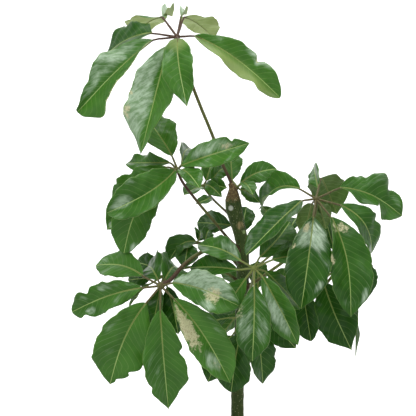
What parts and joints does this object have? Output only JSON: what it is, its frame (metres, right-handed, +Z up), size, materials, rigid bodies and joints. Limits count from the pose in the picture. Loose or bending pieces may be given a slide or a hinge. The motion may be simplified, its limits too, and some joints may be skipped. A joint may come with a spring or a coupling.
{
  "type": "potted umbrella plant",
  "caption": "House plant in a plain round pot: umbrella-like whorls of long glossy leaflets on arching stalks from one short trunk, for a floor or a low stand.",
  "frame": {"origin": "middle of the pot's flat underside", "axes": "+Z up along the pot's axis, +X to the right of the front view, +Y away from the viewer"},
  "size_m": [0.6518, 0.402, 1.0844],
  "materials": {
    "pot": "plain matte, warm stone grey",
    "soil": "dark crumbly potting soil",
    "bark": "olive green young bark with brown sheaths and pale leaf scars",
    "leaf": "glossy mid to dark green above with pale yellow-green veins, dull olive below, brown stalks"
  },
  "bodies": {
    "root": {"pot": "pot", "soil": "soil", "trunk": "bark", "leaf_top": "leaf", "leaf_left": "leaf", "leaf_right": "leaf", "leaf_front": "leaf", "leaf_low_left": "leaf", "leaf_low_mid": "leaf", "leaf_low_right": "leaf", "leaf_back_left": "leaf", "leaf_behind": "leaf", "leaf_inner": "leaf", "leaf_young": "leaf", "leaf_hanging": "leaf", "leaf_far": "leaf", "leaf_rear": "leaf"}
  },
  "joints": []
}
